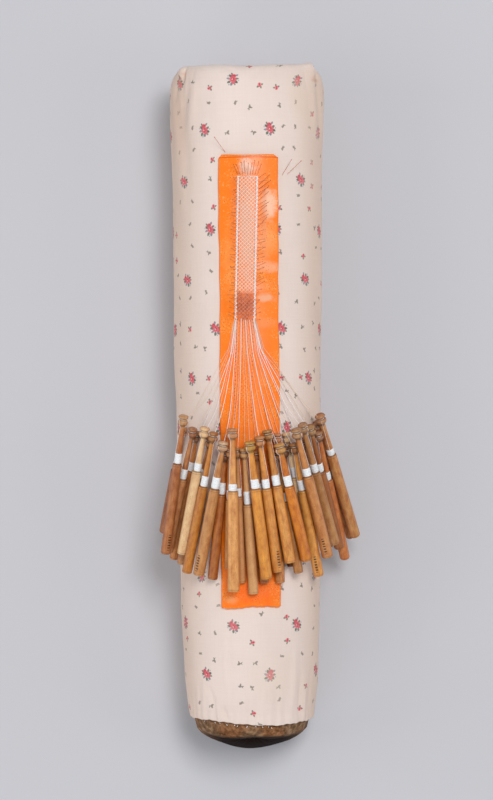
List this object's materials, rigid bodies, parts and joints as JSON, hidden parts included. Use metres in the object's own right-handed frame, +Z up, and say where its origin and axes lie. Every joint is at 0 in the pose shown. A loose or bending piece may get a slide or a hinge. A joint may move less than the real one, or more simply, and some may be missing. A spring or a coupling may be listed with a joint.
{
  "type": "bobbin lace pillow",
  "caption": "Round bolster lace pillow in a flower-print cotton cover, with a strip of lace in progress on a pricking card and a fan of turned wooden bobbins hanging from its threads.",
  "frame": {"origin": "middle of the flat on the underside that the pillow rests on", "axes": "+Z up, with the lace on top; +Y along the pillow towards its folded end, away from the bobbins' tails"},
  "size_m": [0.1718, 0.5854, 0.1395],
  "materials": {
    "sacking": "worn",
    "cotton": "matte",
    "card": "glossy",
    "thread": "matte",
    "honey_wood": "satin",
    "pale_wood": "satin",
    "orange_wood": "satin",
    "brown_wood": "satin"
  },
  "bodies": {
    "root": {"pillow_core": "sacking", "pillow_cover": "cotton", "pricking_card": "card", "lace_strip": "thread", "thread_fan": "thread", "bobbin_01": "brown_wood", "bobbin_02": "orange_wood", "bobbin_03": "brown_wood", "bobbin_04": "orange_wood", "bobbin_05": "pale_wood", "bobbin_06": "orange_wood", "bobbin_07": "honey_wood", "bobbin_08": "honey_wood", "bobbin_09": "orange_wood", "bobbin_10": "brown_wood", "bobbin_11": "honey_wood", "bobbin_12": "pale_wood", "bobbin_13": "pale_wood", "bobbin_14": "honey_wood", "bobbin_15": "brown_wood", "bobbin_16": "honey_wood", "bobbin_17": "orange_wood", "bobbin_18": "brown_wood", "bobbin_19": "orange_wood", "bobbin_20": "brown_wood", "bobbin_21": "honey_wood", "bobbin_22": "pale_wood", "bobbin_23": "honey_wood", "bobbin_24": "honey_wood", "bobbin_25": "brown_wood", "bobbin_26": "honey_wood", "bobbin_27": "honey_wood", "bobbin_28": "orange_wood", "bobbin_29": "brown_wood", "bobbin_30": "orange_wood"}
  },
  "joints": []
}
